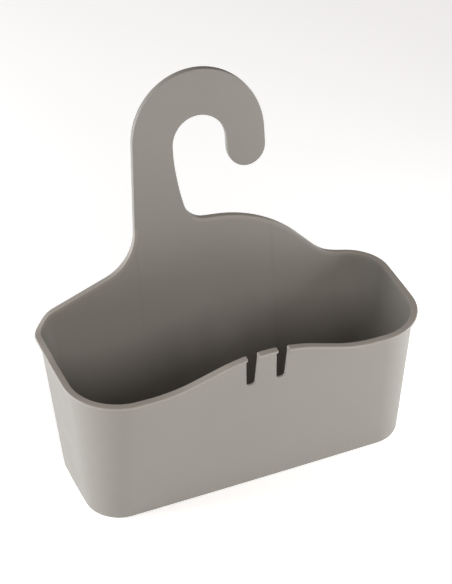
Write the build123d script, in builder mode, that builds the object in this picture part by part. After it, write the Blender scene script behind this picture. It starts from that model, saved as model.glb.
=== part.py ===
from build123d import *
from math import cos, radians, sin, tan
import os

os.makedirs("parts", exist_ok=True)

# Hanging caddy: an open tub with a hook, one plastic moulding kept as named regions.
# +X is to the right seen from the front, +Y is to the back, +Z is up.
# The origin is the centre of the base's underside.

# ---- tub, outside of the wall, at the base ----
base_half_back = 128.5
base_half_front = 122.0
base_depth = 79.8
end_draft = 2.25
front_draft = 4.1
back_draft = 9.8
front_radius = 26.0
front_radius_growth = 0.1
back_radius = 12.0
left_back_growth = 0.023
right_back_growth = 0.15
end_bow = 1.1
front_bow = 0.6
wall = 1.8
floor_thickness = 2.2
base_edge_round = 1.2

# ---- rim: a lip turned outwards along every top edge ----
rim_height = 111.0
lip_width = 3.0
lip_thickness = 2.2

# ---- front wall: raised middle with a tongue between two slots ----
hump_height = 127.6
hump_top_x = 18.1
hump_foot_x = 67.7
hump_top_radius = 108.0
hump_foot_radius = 100.0
slot_half_pitch = 11.1
slot_half_width_top = 4.5
slot_half_width_bottom = 3.0
slot_bottom = 99.8
slot_corner_round = 1.8

# ---- crest of the back wall: straight shoulder at the left, dome at the right ----
shoulder_foot = (-131.0, rim_height)
shoulder_bend = (-121.0, 117.4)
shoulder_top = (-53.8, 140.6)
shoulder_radii = (14.0, 34.0, 36.0)
dome_start = (-10.5, 164.4)
dome_bend = (48.0, 159.6)
dome_foot = (98.3, rim_height)
dome_radius = 104.0
dome_foot_radius = 36.0

# ---- hook ----
hook_x = 2.5
hook_z = 222.35
hook_outer_radius = 49.5
hook_inner_x = 2.6
hook_inner_z = 219.3
hook_inner_radius = 20.2
shank_lean = 4.1
tip_z = 210.9
throat_upper = (-18.0, 209.6)
throat_lower = (-15.5, 187.6)
throat_radii = (110.0, 110.0, 17.0)

# ---- stiffening ribs behind the back wall ----
rib_offset = 52.5
rib_thickness = 1.6
rib_foot = 6.0

# ---- limits used to build and to divide the moulding ----
top_limit = 287.0
reach = 300.0
end_cut = 108.0
hook_cut = 165.6
crest_split = -30.0

tip_left = hook_inner_x + hook_inner_radius
tip_right = hook_x + hook_outer_radius
tip_x = (tip_left + tip_right) / 2
tip_radius = (tip_right - tip_left) / 2


def tub_outline(z, grow):
    """Rounded outline of the tub at height z, moved outwards by grow."""
    half_back = base_half_back + z * tan(radians(end_draft)) + grow
    half_front = base_half_front + z * tan(radians(end_draft)) + grow
    front_y = -base_depth / 2 - z * tan(radians(front_draft)) - grow
    back_y = base_depth / 2 + z * tan(radians(back_draft)) + grow
    half_middle = (half_back + half_front) / 2 + end_bow
    middle_y = (front_y + back_y) / 2
    with BuildSketch(Plane.XY.offset(z)) as outline:
        with BuildLine():
            Line((half_back, back_y), (-half_back, back_y))
            ThreePointArc((-half_back, back_y), (-half_middle, middle_y), (-half_front, front_y))
            ThreePointArc((-half_front, front_y), (0, front_y - front_bow), (half_front, front_y))
            ThreePointArc((half_front, front_y), (half_middle, middle_y), (half_back, back_y))
        make_face()
        fillet(outline.vertices().sort_by(Axis.Y)[:2], front_radius + front_radius_growth * z + grow)
        right_corner = outline.vertices().sort_by(Axis.Y)[-2:].sort_by(Axis.X)[-1]
        fillet(right_corner, back_radius + right_back_growth * z + grow)
        left_corner = outline.vertices().sort_by(Axis.Y)[-2:].sort_by(Axis.X)[0]
        fillet(left_corner, back_radius + left_back_growth * z + grow)
    return outline.sketch


def tub_solid(low, grow):
    """Tapered block that follows the tub's outline from low to above the hook."""
    with BuildPart() as block:
        add(tub_outline(low, grow))
        add(tub_outline(top_limit, grow))
        loft()
    return block.part


def upright(profile, y_from, y_to):
    """Extrude an X-Z profile along Y between two depths."""
    with BuildPart() as prism:
        with BuildSketch(Plane.XZ.offset(-y_from)):
            add(profile)
        extrude(amount=-(y_to - y_from))
    return prism.part


def block(x_from, x_to, y_from, y_to, z_from, z_to):
    """Plain box between two corners."""
    with BuildPart() as box:
        with Locations(((x_from + x_to) / 2, (y_from + y_to) / 2, (z_from + z_to) / 2)):
            Box(x_to - x_from, y_to - y_from, z_to - z_from)
    return box.part


# ---- top edge of the back half, with the hook ----
shank_top = (
    hook_x - hook_outer_radius * cos(radians(shank_lean)),
    hook_z + hook_outer_radius * sin(radians(shank_lean)),
)
outer_right = (tip_right, hook_z)
inner_right = (tip_left, hook_inner_z)
inner_left = (hook_inner_x - hook_inner_radius, hook_inner_z)

with BuildSketch() as back_profile:
    with BuildLine():
        FilletPolyline(
            (-reach, rim_height),
            shoulder_foot,
            shoulder_bend,
            shoulder_top,
            shank_top,
            radius=list(shoulder_radii),
        )
        ThreePointArc(shank_top, (hook_x, hook_z + hook_outer_radius), outer_right)
        Line(outer_right, (tip_right, tip_z))
        ThreePointArc((tip_right, tip_z), (tip_x, tip_z - tip_radius), (tip_left, tip_z))
        Line((tip_left, tip_z), inner_right)
        ThreePointArc(inner_right, (hook_inner_x, hook_inner_z + hook_inner_radius), inner_left)
        FilletPolyline(
            inner_left,
            throat_upper,
            throat_lower,
            dome_start,
            dome_bend,
            dome_foot,
            (reach, rim_height),
            radius=[*throat_radii, dome_radius, dome_foot_radius],
        )
        Line((reach, rim_height), (reach, -1))
        Line((reach, -1), (-reach, -1))
        Line((-reach, -1), (-reach, rim_height))
    make_face()

# ---- top edge of the front half ----
with BuildSketch() as front_profile:
    with BuildLine():
        FilletPolyline(
            (-reach, rim_height),
            (-hump_foot_x, rim_height),
            (-hump_top_x, hump_height),
            (hump_top_x, hump_height),
            (hump_foot_x, rim_height),
            (reach, rim_height),
            radius=[hump_foot_radius, hump_top_radius, hump_top_radius, hump_foot_radius],
        )
        Line((reach, rim_height), (reach, -1))
        Line((reach, -1), (-reach, -1))
        Line((-reach, -1), (-reach, rim_height))
    make_face()

# ---- two slots, open at the top ----
with BuildSketch() as slots:
    for side in (-1, 1):
        with BuildLine():
            slot_x = side * slot_half_pitch
            Polyline(
                (slot_x - slot_half_width_top, hump_height + 5),
                (slot_x - slot_half_width_bottom, slot_bottom),
                (slot_x + slot_half_width_bottom, slot_bottom),
                (slot_x + slot_half_width_top, hump_height + 5),
                close=True,
            )
        make_face()
    fillet(slots.vertices().group_by(Axis.Y)[0], slot_corner_round)

with BuildSketch() as back_band:
    add(back_profile.sketch)
    offset(amount=-lip_thickness, kind=Kind.ARC, mode=Mode.SUBTRACT)

with BuildSketch() as front_band:
    add(front_profile.sketch)
    offset(amount=-lip_thickness, kind=Kind.ARC, mode=Mode.SUBTRACT)

# ---- blocks that the regions are cut from ----
with BuildPart() as outer_tub:
    add(tub_solid(0, 0))
    fillet(outer_tub.edges().group_by(Axis.Z)[0], base_edge_round)

outer = outer_tub.part
inner = tub_solid(floor_thickness, -wall)
lip = tub_solid(0, lip_width)

back_mask = upright(back_profile.sketch, 0, reach)
front_mask = upright(front_profile.sketch, -reach, 0)
back_band_mask = upright(back_band.sketch, 0, reach)
front_band_mask = upright(front_band.sketch, -reach, 0)
slot_cutter = upright(slots.sketch, -reach, 0)
above_floor = block(-reach, reach, -reach, reach, floor_thickness, top_limit)
upper_half = block(-reach, reach, -reach, reach, rim_height / 2, top_limit)

with BuildPart() as front_walls:
    add(outer)
    add(inner, mode=Mode.SUBTRACT)
    add(above_floor, mode=Mode.INTERSECT)
    add(front_mask, mode=Mode.INTERSECT)
    add(slot_cutter, mode=Mode.SUBTRACT)

with BuildPart() as back_walls:
    add(outer)
    add(inner, mode=Mode.SUBTRACT)
    add(above_floor, mode=Mode.INTERSECT)
    add(back_mask, mode=Mode.INTERSECT)

with BuildPart() as front_lip:
    add(lip)
    add(outer, mode=Mode.SUBTRACT)
    add(upper_half, mode=Mode.INTERSECT)
    add(front_band_mask, mode=Mode.INTERSECT)
    add(slot_cutter, mode=Mode.SUBTRACT)

with BuildPart() as back_lip:
    add(lip)
    add(outer, mode=Mode.SUBTRACT)
    add(upper_half, mode=Mode.INTERSECT)
    add(back_band_mask, mode=Mode.INTERSECT)

# ---- floor and walls ----
with BuildPart() as floor_panel:
    add(outer)
    add(block(-reach, reach, -reach, reach, 0, floor_thickness), mode=Mode.INTERSECT)
floor_panel.part.label = "floor_panel"
export_step(floor_panel.part, "parts/floor_panel.step")

with BuildPart() as end_wall_left:
    add(front_walls.part)
    add(back_walls.part)
    add(block(-reach, -end_cut, -reach, reach, 0, hook_cut), mode=Mode.INTERSECT)
end_wall_left.part.label = "end_wall_left"
export_step(end_wall_left.part, "parts/end_wall_left.step")

with BuildPart() as end_wall_right:
    add(front_walls.part)
    add(back_walls.part)
    add(block(end_cut, reach, -reach, reach, 0, hook_cut), mode=Mode.INTERSECT)
end_wall_right.part.label = "end_wall_right"
export_step(end_wall_right.part, "parts/end_wall_right.step")

tongue_space = block(
    -slot_half_pitch, slot_half_pitch, -reach, 0, slot_bottom + slot_corner_round, hook_cut
)

with BuildPart() as front_wall:
    add(front_walls.part)
    add(block(-end_cut, end_cut, -reach, 0, 0, hook_cut), mode=Mode.INTERSECT)
    add(tongue_space, mode=Mode.SUBTRACT)
front_wall.part.label = "front_wall"
export_step(front_wall.part, "parts/front_wall.step")

with BuildPart() as front_tongue:
    add(front_walls.part)
    add(tongue_space, mode=Mode.INTERSECT)
front_tongue.part.label = "front_tongue"
export_step(front_tongue.part, "parts/front_tongue.step")

with BuildPart() as back_wall:
    add(back_walls.part)
    add(block(-end_cut, end_cut, 0, reach, 0, hook_cut), mode=Mode.INTERSECT)
back_wall.part.label = "back_wall"
export_step(back_wall.part, "parts/back_wall.step")

with BuildPart() as hook_web:
    add(back_walls.part)
    add(block(-end_cut, end_cut, 0, reach, hook_cut, top_limit), mode=Mode.INTERSECT)
hook_web.part.label = "hook_web"
export_step(hook_web.part, "parts/hook_web.step")

# ---- lip round the top edge ----
left_of_slots = block(-reach, -slot_half_pitch, -reach, 0, 0, hook_cut)
right_of_slots = block(slot_half_pitch, reach, -reach, 0, 0, hook_cut)
left_back_corner = block(-reach, -end_cut, 0, reach, 0, hook_cut)
right_back_corner = block(end_cut, reach, 0, reach, 0, hook_cut)

with BuildPart() as rim_left:
    add(front_lip.part & left_of_slots)
    add(back_lip.part & left_back_corner)
rim_left.part.label = "rim_left"
export_step(rim_left.part, "parts/rim_left.step")

with BuildPart() as rim_right:
    add(front_lip.part & right_of_slots)
    add(back_lip.part & right_back_corner)
rim_right.part.label = "rim_right"
export_step(rim_right.part, "parts/rim_right.step")

with BuildPart() as rim_tongue:
    add(front_lip.part)
    add(block(-slot_half_pitch, slot_half_pitch, -reach, 0, 0, hook_cut), mode=Mode.INTERSECT)
rim_tongue.part.label = "rim_tongue"
export_step(rim_tongue.part, "parts/rim_tongue.step")

with BuildPart() as crest_edge_left:
    add(back_lip.part)
    add(block(-end_cut, crest_split, 0, reach, 0, hook_cut), mode=Mode.INTERSECT)
crest_edge_left.part.label = "crest_edge_left"
export_step(crest_edge_left.part, "parts/crest_edge_left.step")

with BuildPart() as crest_edge_right:
    add(back_lip.part)
    add(block(crest_split, end_cut, 0, reach, 0, hook_cut), mode=Mode.INTERSECT)
crest_edge_right.part.label = "crest_edge_right"
export_step(crest_edge_right.part, "parts/crest_edge_right.step")

with BuildPart() as hook_edge:
    add(back_lip.part)
    add(block(-end_cut, end_cut, 0, reach, hook_cut, top_limit), mode=Mode.INTERSECT)
hook_edge.part.label = "hook_edge"
export_step(hook_edge.part, "parts/hook_edge.step")

# ---- stiffening ribs behind the back wall ----
rib_layer = (lip - outer) & (back_mask - back_band_mask)

with BuildPart() as rear_rib_left:
    add(rib_layer)
    add(
        block(-rib_offset - rib_thickness / 2, -rib_offset + rib_thickness / 2, 0, reach, rib_foot, hook_cut),
        mode=Mode.INTERSECT,
    )
rear_rib_left.part.label = "rear_rib_left"
export_step(rear_rib_left.part, "parts/rear_rib_left.step")

with BuildPart() as rear_rib_right:
    add(rib_layer)
    add(
        block(rib_offset - rib_thickness / 2, rib_offset + rib_thickness / 2, 0, reach, rib_foot, hook_cut),
        mode=Mode.INTERSECT,
    )
rear_rib_right.part.label = "rear_rib_right"
export_step(rear_rib_right.part, "parts/rear_rib_right.step")
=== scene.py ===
import math

import bmesh
import bpy
from mathutils import Matrix, Vector
from mathutils.geometry import delaunay_2d_cdt


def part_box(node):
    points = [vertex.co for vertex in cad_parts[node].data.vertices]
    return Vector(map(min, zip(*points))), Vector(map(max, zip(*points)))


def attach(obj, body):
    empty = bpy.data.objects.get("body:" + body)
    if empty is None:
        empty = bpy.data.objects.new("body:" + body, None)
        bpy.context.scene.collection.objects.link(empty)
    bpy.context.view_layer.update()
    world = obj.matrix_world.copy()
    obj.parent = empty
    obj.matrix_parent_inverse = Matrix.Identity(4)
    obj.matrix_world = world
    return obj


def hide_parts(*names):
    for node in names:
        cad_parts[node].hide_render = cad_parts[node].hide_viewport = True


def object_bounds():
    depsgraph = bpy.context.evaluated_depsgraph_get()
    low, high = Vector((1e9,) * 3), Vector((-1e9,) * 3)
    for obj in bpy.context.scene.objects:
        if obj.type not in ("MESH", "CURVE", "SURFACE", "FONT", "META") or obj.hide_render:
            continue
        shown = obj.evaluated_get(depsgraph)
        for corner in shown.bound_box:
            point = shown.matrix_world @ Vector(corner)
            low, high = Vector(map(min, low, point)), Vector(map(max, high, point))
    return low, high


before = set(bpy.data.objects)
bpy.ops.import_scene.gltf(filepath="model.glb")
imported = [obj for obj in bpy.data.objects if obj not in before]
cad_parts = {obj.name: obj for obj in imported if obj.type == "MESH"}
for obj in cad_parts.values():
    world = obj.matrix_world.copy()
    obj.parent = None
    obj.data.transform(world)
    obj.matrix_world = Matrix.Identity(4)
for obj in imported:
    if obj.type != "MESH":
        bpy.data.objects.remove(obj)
cad_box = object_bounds()

# Hanging caddy: one plastic moulding. The skins are built from the CAD part's driving sizes, in
# millimetres, apart from end_bow, which is 0.1 smaller. The small edge rounds are made here.
MM = 0.001
floor_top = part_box("floor_panel")[1].z / MM
rim_height = 111.0
wall = 1.8

# ---- tub ----
base_half_back = 128.5
base_half_front = 122.0
base_depth = 79.8
end_draft = math.radians(2.25)
front_draft = math.radians(4.1)
back_draft = math.radians(9.8)
front_radius = 26.0
front_radius_growth = 0.1
back_radius = 12.0
left_back_growth = 0.023
right_back_growth = 0.15
end_bow = 1.0
front_bow = 0.6
base_round = 1.2
floor_inner_round = 1.2

# ---- lip ----
lip_width = 3.0
lip_thickness = 2.2
lip_top_round = 0.8
lip_low_round = 0.6
lip_root_round = 0.5
inner_edge_round = 0.6
lip_end_round = 0.9
lip_depth = lip_thickness + lip_root_round

# ---- front wall ----
hump_height = 127.6
hump_top_x = 18.1
hump_foot_x = 67.7
hump_radii = (100.0, 108.0, 108.0, 100.0)
slot_half_pitch = 11.1
slot_half_width_top = 4.5
slot_half_width_bottom = 3.0
slot_bottom = 99.8
slot_corner_round = 1.8
slot_edge_round = 0.65
slot_top = hump_height + 5.0

# ---- crest and hook ----
shoulder = ((-131.0, rim_height), (-121.0, 117.4), (-53.8, 140.6))
shoulder_radii = (14.0, 34.0, 36.0)
hook_centre = (2.5, 222.35)
hook_inner_centre = (2.6, 219.3)
hook_inner_radius = 20.2
hook_outer_radius = 49.5
shank_lean = math.radians(4.1)
tip_z = 210.9
throat = ((-18.0, 209.6), (-15.5, 187.6))
dome = ((-10.5, 164.4), (48.0, 159.6), (98.3, rim_height))
throat_and_dome_radii = (110.0, 110.0, 17.0, 104.0, 36.0)
hook_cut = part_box("hook_web")[0].z / MM

# ---- how finely the skins are divided ----
reach = 300.0
path_step = 2.5
corner_steps = 16
side_steps = 12
row_count = 14
round_steps = 4
line_steps = 40
skin_base = 5.0
weld_digits = 4
weld_distance = 1e-5
least_gap = 0.8
corner_gap = 1.5
slot_step = 0.8
slot_round_run = 1.5
slot_end_shares = (0.0, 0.12, 0.35, 0.7, 1.0)
foot_limits = (-90.0, 80.0)
settling_passes = 3
front_grid_x = range(-84, 85, 12)
front_grid_z = range(16, 90, 12)
hook_margin = 9.0
hook_web_right = 60.0
crease_angle = math.radians(40)


def spaced(start, end, step):
    """Points after start up to end, on a straight line."""
    start, end = Vector(start), Vector(end)
    count = math.ceil((end - start).length / step - 1e-6)
    return [start.lerp(end, (i + 1) / count) for i in range(count)]


def arc(centre, radius, start, end, step):
    """Points after the arc's start up to its end."""
    count = max(3, math.ceil(abs(end - start) * radius / step))
    angles = [start + (end - start) * (i + 1) / count for i in range(count)]
    return [
        Vector((centre[0] + radius * math.cos(a), centre[1] + radius * math.sin(a))) for a in angles
    ]


def rounded(points, radii, step):
    """Polyline with its inner corners rounded, as closely spaced points."""
    path = [Vector(points[0])]
    for before, corner, after, radius in zip(points, points[1:], points[2:], radii):
        corner = Vector(corner)
        back = (Vector(before) - corner).normalized()
        ahead = (Vector(after) - corner).normalized()
        half = math.acos(max(-1, min(1, back.dot(ahead)))) / 2
        centre = corner + (back + ahead).normalized() * radius / math.sin(half)
        start = corner + back * radius / math.tan(half)
        end = corner + ahead * radius / math.tan(half)
        path += spaced(path[-1], start, step)
        first = math.atan2(*(start - centre).yx)
        turn = math.atan2(*(end - centre).yx) - first
        turn = (turn + math.pi) % (2 * math.pi) - math.pi
        path += arc(centre, radius, first, first + turn, step)
    return path + spaced(path[-1], points[-1], step)


def outline_limits(z, grow):
    """Half widths at the back and front, and the back and front depths, at height z."""
    back_x = base_half_back + z * math.tan(end_draft) + grow
    front_x = base_half_front + z * math.tan(end_draft) + grow
    back_y = base_depth / 2 + z * math.tan(back_draft) + grow
    front_y = -base_depth / 2 - z * math.tan(front_draft) - grow
    return back_x, front_x, back_y, front_y


def front_point(x, z, grow):
    """Point of the front wall, which is bowed outwards a little."""
    _, front_x, _, front_y = outline_limits(z, grow)
    return Vector((x, front_y - front_bow * (1 - (x / front_x) ** 2), z))


def back_point(x, z, grow):
    """Point of the flat, leaning back wall and hook."""
    return Vector((x, outline_limits(z, grow)[2], z))


def end_point(side, k, z, grow):
    """Point k of an end wall with its two corners, from the front wall to the back wall."""
    back_x, front_x, back_y, front_y = outline_limits(z, grow)
    along = Vector((back_x - front_x, back_y - front_y)).normalized()
    facing = math.atan2(-along.x, along.y)
    front_r = front_radius + front_radius_growth * z + grow
    back_r = back_radius + (right_back_growth if side > 0 else left_back_growth) * z + grow
    front_reach = front_r / math.tan(math.acos(-along.x) / 2)
    back_reach = back_r / math.tan(math.acos(along.x) / 2)
    front_centre = Vector((front_x - front_reach, front_y + front_r))
    back_centre = Vector((back_x - back_reach, back_y - back_r))
    normal = Vector((math.cos(facing), math.sin(facing)))
    if k <= corner_steps:
        angle = -math.pi / 2 + (facing + math.pi / 2) * k / corner_steps
        flat = front_centre + front_r * Vector((math.cos(angle), math.sin(angle)))
    elif k < corner_steps + side_steps:
        start, end = front_centre + front_r * normal, back_centre + back_r * normal
        flat = start.lerp(end, (k - corner_steps) / side_steps)
    else:
        angle = facing + (math.pi / 2 - facing) * (k - corner_steps - side_steps) / corner_steps
        flat = back_centre + back_r * Vector((math.cos(angle), math.sin(angle)))
    middle, half = (back_y + front_y) / 2, (back_y - front_y) / 2
    across = (flat.y - middle) / half
    bow_x = end_bow * (1 - min(1, across * across))
    bow_y = front_bow * (1 - min(1, (flat.x / front_x) ** 2)) * max(0, -across)
    return Vector((side * (flat.x + bow_x), flat.y - bow_y, z))


last_k = 2 * corner_steps + side_steps

# ---- the two top edges, as x and z ----
shank_top = (
    hook_centre[0] - hook_outer_radius * math.cos(shank_lean),
    hook_centre[1] + hook_outer_radius * math.sin(shank_lean),
)
tip_left = hook_inner_centre[0] + hook_inner_radius
tip_right = hook_centre[0] + hook_outer_radius
tip_radius = (tip_right - tip_left) / 2
tip_centre = ((tip_right + tip_left) / 2, tip_z)
inner_left = (hook_inner_centre[0] - hook_inner_radius, hook_inner_centre[1])

back_edge = rounded([(-reach, rim_height), *shoulder, shank_top], shoulder_radii, path_step)
back_edge += arc(hook_centre, hook_outer_radius, math.pi - shank_lean, 0, path_step)
back_edge += spaced(back_edge[-1], (tip_right, tip_z), path_step)
back_edge += arc(tip_centre, tip_radius, 0, -math.pi, path_step / 2)
back_edge += spaced(back_edge[-1], (tip_left, hook_inner_centre[1]), path_step)
back_edge += arc(hook_inner_centre, hook_inner_radius, 0, math.pi, path_step / 2)
back_edge += rounded(
    [inner_left, *throat, *dome, (reach, rim_height)],
    throat_and_dome_radii,
    path_step,
)[1:]

front_edge = rounded(
    [
        (-reach, rim_height),
        (-hump_foot_x, rim_height),
        (-hump_top_x, hump_height),
        (hump_top_x, hump_height),
        (hump_foot_x, rim_height),
        (reach, rim_height),
    ],
    hump_radii,
    path_step,
)


def edge_height(path, x):
    """Height and slope of a top edge at x, where it has one height."""
    for a, b in zip(path, path[1:]):
        if a.x <= x <= b.x:
            share = (x - a.x) / (b.x - a.x)
            return a.y + share * (b.y - a.y), (b.y - a.y) / (b.x - a.x)
    return rim_height, 0.0


left_foot = [p for p in back_edge if p.x < foot_limits[0]]
right_foot = [p for p in back_edge if p.x > foot_limits[1]]


def quarter(centre, radius, start, end):
    """Rounded corner of a section, both ends included."""
    angles = [
        math.radians(start + (end - start) * i / round_steps) for i in range(round_steps + 1)
    ]
    return [(centre[0] + radius * math.cos(a), centre[1] + radius * math.sin(a)) for a in angles]


# section of the lip: outwards from the wall, and up from the edge
lip_section = [
    *quarter((lip_root_round, -lip_depth), lip_root_round, 180, 90),
    *quarter((lip_width - lip_low_round, lip_low_round - lip_thickness), lip_low_round, -90, 0),
    *quarter((lip_width - lip_top_round, -lip_top_round), lip_top_round, 0, 90),
    *quarter((inner_edge_round - wall, -inner_edge_round), inner_edge_round, 90, 180),
    (-wall, -lip_depth),
]


def end_station(side, k):
    """Lip section at point k of an end wall."""
    station = []
    for grow, up in lip_section:
        z = rim_height + up
        if k > corner_steps + side_steps / 2:
            for _ in range(settling_passes):
                x = end_point(side, k, z, grow).x
                height, slope = edge_height(left_foot if side < 0 else right_foot, x)
                z = height + up * math.hypot(1, slope)
        station.append(end_point(side, k, z, grow))
    return station


def path_normals(path):
    """Directions out of the material along a top edge that runs left to right."""
    normals = []
    for i in range(len(path)):
        ahead = path[min(i + 1, len(path) - 1)] - path[max(i - 1, 0)]
        normals.append(Vector((-ahead.y, ahead.x)).normalized())
    return normals


def slot_side(slot, hand, z):
    """x of one side of a slot at height z."""
    share = (z - slot_bottom) / (slot_top - slot_bottom)
    half = slot_half_width_bottom + share * (slot_half_width_top - slot_half_width_bottom)
    return slot * slot_half_pitch + hand * half


def front_stations(left, right):
    """Lip sections on the front wall between two limits, each an end wall or one side of a slot."""

    def limit_x(limit):
        if limit[0] == "end":
            return end_point(limit[1], 0, rim_height, 0).x
        return slot_side(limit[1], limit[2], hump_height)

    x0, x1 = limit_x(left), limit_x(right)
    starts, ends = [x0], [x1]
    if left[0] == "slot":
        starts = [x0 + lip_end_round * share for share in slot_end_shares]
    if right[0] == "slot":
        ends = [x1 - lip_end_round * share for share in reversed(slot_end_shares)]
    middle = [p.x for p in front_edge if starts[-1] + least_gap < p.x < ends[0] - least_gap]
    stations = []
    for x in starts + middle + ends:
        height, slope = edge_height(front_edge, x)
        gap = min(x - x0 if left[0] == "slot" else reach, x1 - x if right[0] == "slot" else reach)
        shy = max(0.0, lip_end_round - gap)
        cut = lip_end_round - math.sqrt(max(0.0, lip_end_round**2 - shy**2))
        width = (lip_width - cut) / lip_width
        station = []
        for grow, up in lip_section:
            grow = grow * width if grow > 0 else grow
            z = height + up * math.hypot(1, slope)
            px = x
            for limit, end_x in ((left, x0), (right, x1)):
                if x == end_x and limit[0] == "slot":
                    px = slot_side(limit[1], limit[2], z)
            station.append(front_point(px, z, grow))
        stations.append(station)
    if left[0] == "end":
        stations[0] = end_stations[left[1]][0]
    if right[0] == "end":
        stations[-1] = end_stations[right[1]][0]
    return stations


def slot_stations(slot, top_left, top_right):
    """Sections round a slot, from its left top down, round the bottom and up again."""
    path = rounded(
        [
            (slot_side(slot, -1, top_left), top_left),
            (slot_side(slot, -1, slot_bottom), slot_bottom),
            (slot_side(slot, 1, slot_bottom), slot_bottom),
            (slot_side(slot, 1, top_right), top_right),
        ],
        (slot_corner_round, slot_corner_round),
        slot_step,
    )
    stations = []
    for point, normal in zip(path, path_normals(path)):
        gap = min((point - path[0]).length, (point - path[-1]).length)
        r = slot_edge_round * min(1.0, gap / slot_round_run)
        section = quarter((-r, -r), r, 0, 90) + quarter((r - wall, -r), r, 90, 180)
        stations.append(
            [front_point(point.x + normal.x * up, point.y + normal.y * up, grow) for grow, up in section]
        )
    return stations


# ---- one welded mesh, whose faces know their piece ----
vertices = []
vertex_of = {}
faces = []
face_piece = []


def vertex(point):
    """Number of the vertex at a point, which neighbouring faces share."""
    key = tuple(round(c, weld_digits) for c in point)
    if key not in vertex_of:
        vertex_of[key] = len(vertices)
        vertices.append(Vector(point) * MM)
    return vertex_of[key]


def face(points, piece):
    """Face of a piece, unless its points fall together."""
    corners = []
    for index in map(vertex, points):
        if index not in corners:
            corners.append(index)
    if len(corners) > 2:
        faces.append(corners)
        face_piece.append(piece)


def strips(rows, piece_of, closed=False):
    """Quads between neighbouring rows of points."""
    for i, (a, b) in enumerate(zip(rows, rows[1:])):
        count = len(a) if closed else len(a) - 1
        for j in range(count):
            n = (j + 1) % len(a)
            face((a[j], a[n], b[n], b[j]), piece_of(i))


def encloses(outline, point):
    """Whether a closed flat outline goes round a point."""
    within = False
    for a, b in zip(outline, outline[1:] + outline[:1]):
        if (a.y > point.y) != (b.y > point.y):
            if point.x < a.x + (b.x - a.x) * (point.y - a.y) / (b.y - a.y):
                within = not within
    return within


def cross(a, b, c):
    """Twice the signed area of a flat triangle."""
    return (b.x - a.x) * (c.y - a.y) - (b.y - a.y) * (c.x - a.x)


def panel(loop, inside, lift, piece_of, cuts=()):
    """Fill a closed loop on a wall with triangles. lift turns x and z into a point of the wall."""
    flat = [Vector((p.x, p.z)) for p in loop] + [Vector(p) for p in inside]
    ring = [(i, (i + 1) % len(loop)) for i in range(len(loop))]
    every_triangle = 0
    out = delaunay_2d_cdt(flat, ring + list(cuts), [], every_triangle, weld_distance, True)
    places, triangles, origins = out[0], out[2], out[3]
    points, on_loop = [], []
    for place, origin in zip(places, origins):
        known = [o for o in origin if o < len(loop)]
        points.append(loop[known[0]] if known else lift(place.x, place.y))
        on_loop.append(known[0] if known else None)
    outline = flat[: len(loop)]
    winding = sum(cross(outline[0], p, q) for p, q in zip(outline, outline[1:]))
    for triangle in triangles:
        centre = sum((places[i] for i in triangle), Vector((0, 0))) / 3
        corners = sorted(on_loop[i] for i in triangle if on_loop[i] is not None)
        # between three neighbours of the outline a triangle can be too thin to test by its centre
        if len(corners) == 3 and corners[2] - corners[0] == 2:
            within = cross(*(outline[i] for i in corners)) * winding > 0
        else:
            within = encloses(outline, centre)
        if within:
            face([points[i] for i in triangle], piece_of(centre))


# ---- base: rows that run right round the tub ----
def base_row(z, grow):
    """Closed row round the tub: left end, back, right end, front."""
    left = [end_point(-1, k, z, grow) for k in range(last_k + 1)]
    right = [end_point(1, k, z, grow) for k in range(last_k, -1, -1)]
    back, front = [], []
    for i in range(1, line_steps):
        share = i / line_steps
        back.append(back_point(left[-1].x + share * (right[0].x - left[-1].x), z, grow))
        front.append(front_point(right[-1].x + share * (left[0].x - right[-1].x), z, grow))
    return left + back + right + front


outer_section = quarter((-base_round, base_round), base_round, -90, 0)
outer_base = [base_row(z, grow) for grow, z in outer_section]
outer_base.append(base_row(skin_base, 0))
inner_section = quarter(
    (-wall - floor_inner_round, floor_top + floor_inner_round),
    floor_inner_round,
    -90,
    0,
)
inner_base = [base_row(z, grow) for grow, z in inner_section]
inner_base.append(base_row(skin_base, -wall))
for rows in (outer_base, inner_base):
    strips(rows, lambda i: "tub_skin", closed=True)
    face(rows[0], "tub_skin")

# ---- lip round the ends ----
end_stations = {}
for side in (-1, 1):
    end_stations[side] = [end_station(side, k) for k in range(last_k + 1)]
    strips(end_stations[side], lambda i: "rim_skin")

# ---- end walls, outside and inside ----
columns = {}
for side in (-1, 1):
    for grow, index in ((0, 0), (-wall, -1)):
        grid = []
        for k in range(last_k + 1):
            top = end_stations[side][k][index]
            heights = [skin_base + (top.z - skin_base) * j / row_count for j in range(row_count)]
            grid.append([end_point(side, k, z, grow) for z in heights] + [top])
        strips(grid, lambda i: "tub_skin")
        columns[side, index] = grid

# ---- lip along the crest and the hook ----
left_x, right_x = end_stations[-1][-1][0].x, end_stations[1][-1][0].x
normals = path_normals(back_edge)
kept = [
    (p, n)
    for p, n in zip(back_edge, normals)
    if left_x + corner_gap < p.x < right_x - corner_gap
]
back_path = [end_stations[-1][-1]]
for point, normal in kept:
    back_path.append(
        [back_point(point.x + normal.x * up, point.y + normal.y * up, grow) for grow, up in lip_section]
    )
back_path.append(end_stations[1][-1])
high = [i for i, (p, n) in enumerate(kept) if p.y > hook_cut]
hook_first, hook_last = high[0] + 1, high[-1] + 1
strips(back_path, lambda i: "hook_skin" if hook_first <= i < hook_last else "rim_skin")

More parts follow.
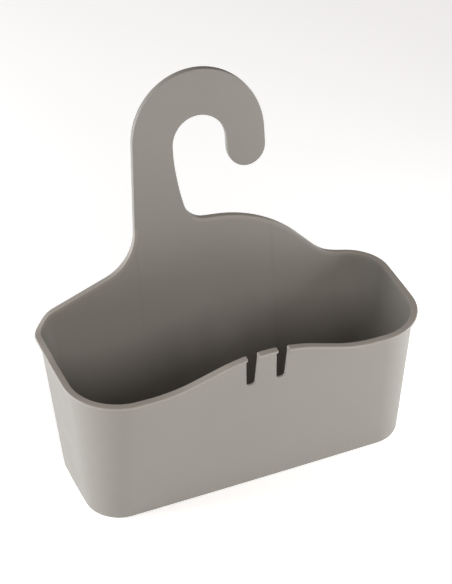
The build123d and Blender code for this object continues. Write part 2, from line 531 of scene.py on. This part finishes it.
for index, grow in ((0, 0), (-1, -wall)):
    loop = list(columns[-1, index][-1]) + [station[index] for station in back_path[1:-1]]
    cut = (row_count + hook_first, row_count + hook_last)
    loop += list(reversed(columns[1, index][-1]))
    rows = outer_base if index == 0 else inner_base
    back_line = rows[-1][last_k + 1 : last_k + line_steps]
    loop += list(reversed(back_line))
    a, b = loop[cut[0]], loop[cut[1]]

    def above(centre, a=a, b=b):
        """Piece of a triangle: the hook's, if it lies above the hook's foot."""
        level = a.z + (b.z - a.z) * (centre.x - a.x) / (b.x - a.x)
        beside = a.x - hook_margin < centre.x < hook_web_right
        return "hook_skin" if beside and centre.y > max(level, a.z - hook_margin) else "tub_skin"

    panel(loop, [], lambda x, z, g=grow: back_point(x, z, g), above, [cut])

# ---- front wall with its two slots ----
parts = [
    front_stations(("end", -1), ("slot", -1, -1)),
    front_stations(("slot", -1, 1), ("slot", 1, -1)),
    front_stations(("slot", 1, 1), ("end", 1)),
]
for part in parts:
    strips(part, lambda i: "rim_skin")
for station in (parts[0][-1], parts[1][0], parts[1][-1], parts[2][0]):
    face(station, "rim_skin")
slot_parts = [
    slot_stations(-1, parts[0][-1][0].z, parts[1][0][0].z),
    slot_stations(1, parts[1][-1][0].z, parts[2][0][0].z),
]
for part in slot_parts:
    strips(part, lambda i: "tub_skin")
for index, grow in ((0, 0), (-1, -wall)):
    loop = list(columns[-1, index][0])
    for part in (parts[0][1:-1], slot_parts[0], parts[1][1:-1], slot_parts[1], parts[2][1:-1]):
        loop += [station[index] for station in part]
    loop += list(reversed(columns[1, index][0]))
    rows = outer_base if index == 0 else inner_base
    loop += rows[-1][2 * last_k + line_steps + 1 :]
    inside = [(x, z) for x in front_grid_x for z in front_grid_z]
    panel(loop, inside, lambda x, z, g=grow: front_point(x, z, g), lambda c: "tub_skin")

# ---- weld, find the normals over the whole moulding, then divide it into pieces ----
whole = bpy.data.meshes.new("whole_moulding")
whole.from_pydata(vertices, [], faces)
work = bmesh.new()
work.from_mesh(whole)
bmesh.ops.recalc_face_normals(work, faces=work.faces)
work.to_mesh(whole)
work.free()
whole.polygons.foreach_set("use_smooth", [True] * len(whole.polygons))
whole.set_sharp_from_angle(angle=crease_angle)
holder = bpy.data.objects.new("whole_moulding", whole)
bpy.context.scene.collection.objects.link(holder)
weighted = holder.modifiers.new("weighted", "WEIGHTED_NORMAL")
weighted.keep_sharp = True
weighted.weight = 50
evaluated = holder.evaluated_get(bpy.context.evaluated_depsgraph_get()).to_mesh()
corner_normals = [Vector(n.vector) for n in evaluated.corner_normals]
polygons = [(list(p.vertices), list(p.loop_indices)) for p in evaluated.polygons]
places = [v.co.copy() for v in evaluated.vertices]
bpy.data.objects.remove(holder)


def make_piece(name):
    """One named piece of the moulding, which keeps the whole moulding's normals."""
    chosen = [p for p, piece in zip(polygons, face_piece) if piece == name]
    used = sorted({v for corners, _ in chosen for v in corners})
    new_index = {v: i for i, v in enumerate(used)}
    new_faces = [[new_index[v] for v in corners] for corners, _ in chosen]
    mesh = bpy.data.meshes.new(name)
    mesh.from_pydata([places[v] for v in used], [], new_faces)
    mesh.polygons.foreach_set("use_smooth", [True] * len(mesh.polygons))
    mesh.normals_split_custom_set([corner_normals[i] for _, loops in chosen for i in loops])
    piece = bpy.data.objects.new(name, mesh)
    bpy.context.scene.collection.objects.link(piece)
    return piece


# ---- moulded plastic: lengths in metres, scales per metre ----
shade_limits = (0.965, 1.03)
patch_scale = 14
patch_share = 0.6
speckle_scale = 900
speckle_share = 0.4
gloss_patch_scale = 60
gloss_speckle_scale = 1400
gloss_change = 0.03
grain_scale = 2200
grain_strength = 0.5
wave_scale = 11
wave_depth = 0.0006
wave_strength = 0.6
sink_half_width = 0.0012
sink_depth = 0.00006
sink_strength = 0.35
# how much the sink lines darken the colour: painted shade
sink_painted_shade = 0.9
sink_front_y = 0.036
plastic_ior = 1.49


def plastic(name, colour, roughness, grain_depth):
    """Satin moulded plastic: fine grain, slow waviness of the walls and faint sink lines, whose darker
    colour is painted shade.
    """
    material = bpy.data.materials.new(name)
    material.use_nodes = True
    nodes, links = material.node_tree.nodes, material.node_tree.links
    shader = nodes["Principled BSDF"]
    place = nodes.new("ShaderNodeTexCoord")

    def noise(scale, detail, rough=0.5):
        node = nodes.new("ShaderNodeTexNoise")
        node.inputs["Scale"].default_value = scale
        node.inputs["Detail"].default_value = detail
        node.inputs["Roughness"].default_value = rough
        links.new(place.outputs["Object"], node.inputs["Vector"])
        return node.outputs["Fac"]

    def spread(value, low, high, start=0.3, end=0.7):
        node = nodes.new("ShaderNodeMapRange")
        node.inputs["From Min"].default_value = start
        node.inputs["From Max"].default_value = end
        node.inputs["To Min"].default_value = low
        node.inputs["To Max"].default_value = high
        links.new(value, node.inputs["Value"])
        return node.outputs["Result"]

    def maths(operation, *values):
        node = nodes.new("ShaderNodeMath")
        node.operation = operation
        for socket, value in zip(node.inputs, values):
            if isinstance(value, (int, float)):
                socket.default_value = value
            else:
                links.new(value, socket)
        return node.outputs[0]

    def bump(height, depth, strength, below=None):
        node = nodes.new("ShaderNodeBump")
        node.inputs["Strength"].default_value = strength
        node.inputs["Distance"].default_value = depth
        links.new(height, node.inputs["Height"])
        if below is not None:
            links.new(below.outputs["Normal"], node.inputs["Normal"])
        return node

    # two sink lines on the back wall, in front of the ribs: shallow dips by bump, and their colour
    # darkened as painted shade
    split = nodes.new("ShaderNodeSeparateXYZ")
    links.new(place.outputs["Object"], split.inputs[0])
    rib_low, rib_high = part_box("rear_rib_right")
    rib_gap = maths("SUBTRACT", maths("ABSOLUTE", split.outputs["X"]), (rib_low.x + rib_high.x) / 2)
    sink_dip_and_shade = maths("DIVIDE", rib_gap, sink_half_width)
    sink_dip_and_shade = maths("POWER", math.e, maths("MULTIPLY", maths("MULTIPLY", sink_dip_and_shade, sink_dip_and_shade), -1.0))
    behind = maths("GREATER_THAN", split.outputs["Y"], sink_front_y)
    under = maths("LESS_THAN", split.outputs["Z"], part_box("rear_rib_left")[1].z)
    sink_dip_and_shade = maths("MULTIPLY", sink_dip_and_shade, maths("MULTIPLY", behind, under))

    shade = nodes.new("ShaderNodeMixRGB")
    for socket, share in zip(("Color1", "Color2"), shade_limits):
        shade.inputs[socket].default_value = (*[c * share for c in colour], 1)
    patches = maths("MULTIPLY", noise(patch_scale, 3), patch_share)
    speckles = maths("MULTIPLY", noise(speckle_scale, 2), speckle_share)
    mottle = spread(maths("ADD", patches, speckles), 0, 1)
    # the sink lines darken the colour here: painted shade of the shallow dips
    links.new(maths("SUBTRACT", mottle, maths("MULTIPLY", sink_dip_and_shade, sink_painted_shade)), shade.inputs["Fac"])
    links.new(shade.outputs["Color"], shader.inputs["Base Color"])

    slow_gloss = spread(
        noise(gloss_patch_scale, 4),
        roughness - gloss_change,
        roughness + gloss_change,
    )
    fine_gloss = spread(noise(gloss_speckle_scale, 2), -gloss_change, gloss_change)
    links.new(maths("ADD", slow_gloss, fine_gloss), shader.inputs["Roughness"])
    shader.inputs["IOR"].default_value = plastic_ior

    fine = bump(noise(grain_scale, 3, 0.6), grain_depth, grain_strength)
    slow = bump(noise(wave_scale, 1), wave_depth, wave_strength, fine)
    sink = bump(sink_dip_and_shade, sink_depth, sink_strength, slow)
    sink.invert = True
    links.new(sink.outputs["Normal"], shader.inputs["Normal"])
    return material


warm_grey = (0.270, 0.254, 0.231)
# the rim is the same plastic as the walls; its lighter colour below is a painted highlight
rim_grey_painted_highlight = (0.310, 0.284, 0.257)
finishes = {
    "body_plastic": plastic("body_plastic", warm_grey, 0.46, 0.00003),
    # rim material: the same plastic with a lighter colour, a painted highlight on the rim
    "rim_plastic": plastic("rim_plastic", rim_grey_painted_highlight, 0.42, 0.00002),
    "hook_plastic": plastic("hook_plastic", warm_grey, 0.45, 0.00003),
}

pieces = {
    "tub_skin": (
        "body_plastic",
        ("floor_panel", "end_wall_left", "end_wall_right", "front_wall", "front_tongue", "back_wall"),
    ),
    "rim_skin": (
        "rim_plastic",
        ("rim_left", "rim_right", "rim_tongue", "crest_edge_left", "crest_edge_right"),
    ),
    "hook_skin": ("hook_plastic", ("hook_web", "hook_edge")),
}
for name, (slot, hidden) in pieces.items():
    piece = make_piece(name)
    piece.data.materials.append(finishes[slot])
    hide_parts(*hidden)
    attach(piece, "root")

for name in ("rear_rib_left", "rear_rib_right"):
    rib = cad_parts[name]
    rib.data.materials.clear()
    rib.data.materials.append(finishes["body_plastic"])

# ---- floor: a sheet of paper, which glows a little so that it stays white ----
floor_half = 6.0
floor_gap = 0.0002
paper_white = (0.93, 0.93, 0.93, 1)
paper_roughness = 0.9
paper_glow = 0.42

floor_mesh = bpy.data.meshes.new("studio_floor")
floor_sides = ((-1, -1), (1, -1), (1, 1), (-1, 1))
floor_corners = [Vector((x * floor_half, y * floor_half, 0)) for x, y in floor_sides]
floor_mesh.from_pydata(floor_corners, [], [(0, 1, 2, 3)])
floor = bpy.data.objects.new("studio_floor", floor_mesh)
floor.location.z = cad_box[0][2] - floor_gap
bpy.context.scene.collection.objects.link(floor)
paper = bpy.data.materials.new("studio_paper")
paper.use_nodes = True
paper_shader = paper.node_tree.nodes["Principled BSDF"]
paper_shader.inputs["Base Color"].default_value = paper_white
paper_shader.inputs["Roughness"].default_value = paper_roughness
paper_shader.inputs["Emission Color"].default_value = (1, 1, 1, 1)
paper_shader.inputs["Emission Strength"].default_value = paper_glow
floor_mesh.materials.append(paper)

# ---- sky: dim and cool near the horizon, warm above ----
sky_colours = ((0.05, (0.20, 0.21, 0.22, 1)), (0.75, (1.0, 0.91, 0.86, 1)))
sky_strength = 0.36

world = bpy.data.worlds.new("studio")
bpy.context.scene.world = world
world.use_nodes = True
sky_nodes, sky_links = world.node_tree.nodes, world.node_tree.links
background = sky_nodes["Background"]
sky_place = sky_nodes.new("ShaderNodeTexCoord")
sky_split = sky_nodes.new("ShaderNodeSeparateXYZ")
sky_ramp = sky_nodes.new("ShaderNodeValToRGB")
for stop, (position, colour) in zip(sky_ramp.color_ramp.elements, sky_colours):
    stop.position = position
    stop.color = colour
sky_links.new(sky_place.outputs["Generated"], sky_split.inputs[0])
sky_links.new(sky_split.outputs["Z"], sky_ramp.inputs["Fac"])
sky_links.new(sky_ramp.outputs["Color"], background.inputs["Color"])
background.inputs["Strength"].default_value = sky_strength

# ---- lights: place from the caddy's middle in metres, side in metres, watts, colour ----
cool_white = (0.95, 0.98, 1.0)
warm_white = (1.0, 0.97, 0.93)
lights = {
    "key_left": ((-1.5, 0.5, 0.35), 0.9, 28, cool_white),
    "fill_right": ((0.42, -0.16, 0.0), 0.25, 1.15, cool_white),
    "fill_front": ((-0.1, -0.88, 0.42), 0.4, 3.6, warm_white),
}


def soft_light(name, place, target, side, power, colour):
    """Large square light, which the camera doesn't see."""
    data = bpy.data.lights.new(name, "AREA")
    data.shape = "RECTANGLE"
    data.size = side
    data.size_y = side
    data.energy = power
    data.color = colour
    lamp = bpy.data.objects.new(name, data)
    lamp.location = place
    lamp.visible_camera = False
    aim = target - place
    lamp.rotation_euler = aim.to_track_quat("-Z", "Y").to_euler()
    bpy.context.scene.collection.objects.link(lamp)


middle = (Vector(cad_box[0]) + Vector(cad_box[1])) / 2
for name, (offset, side, power, colour) in lights.items():
    soft_light(name, middle + Vector(offset), middle, side, power, colour)

# ---- camera ----
camera_place = (-0.26576, -0.62277, 0.63829)
yaw, pitch, roll = (math.radians(a) for a in (22.35, 36.29, -0.2))
sensor_width = 36.0
lens = 74.98
lens_shift = (0.0004, 0.0031)

ahead = Vector((math.sin(yaw) * math.cos(pitch), math.cos(yaw) * math.cos(pitch), -math.sin(pitch)))
right = Vector((math.cos(yaw), -math.sin(yaw), 0))
up = right.cross(ahead)
right, up = (
    math.cos(roll) * right + math.sin(roll) * up,
    math.cos(roll) * up - math.sin(roll) * right,
)
camera_data = bpy.data.cameras.new("camera")
camera_data.sensor_width = sensor_width
camera_data.lens = lens
camera_data.shift_x, camera_data.shift_y = lens_shift
camera = bpy.data.objects.new("camera", camera_data)
turn = Matrix((right, up, -ahead)).transposed().to_4x4()
camera.matrix_world = Matrix.Translation(camera_place) @ turn
bpy.context.scene.collection.objects.link(camera)
bpy.context.scene.camera = camera
bpy.context.scene.view_settings.view_transform = "Standard"
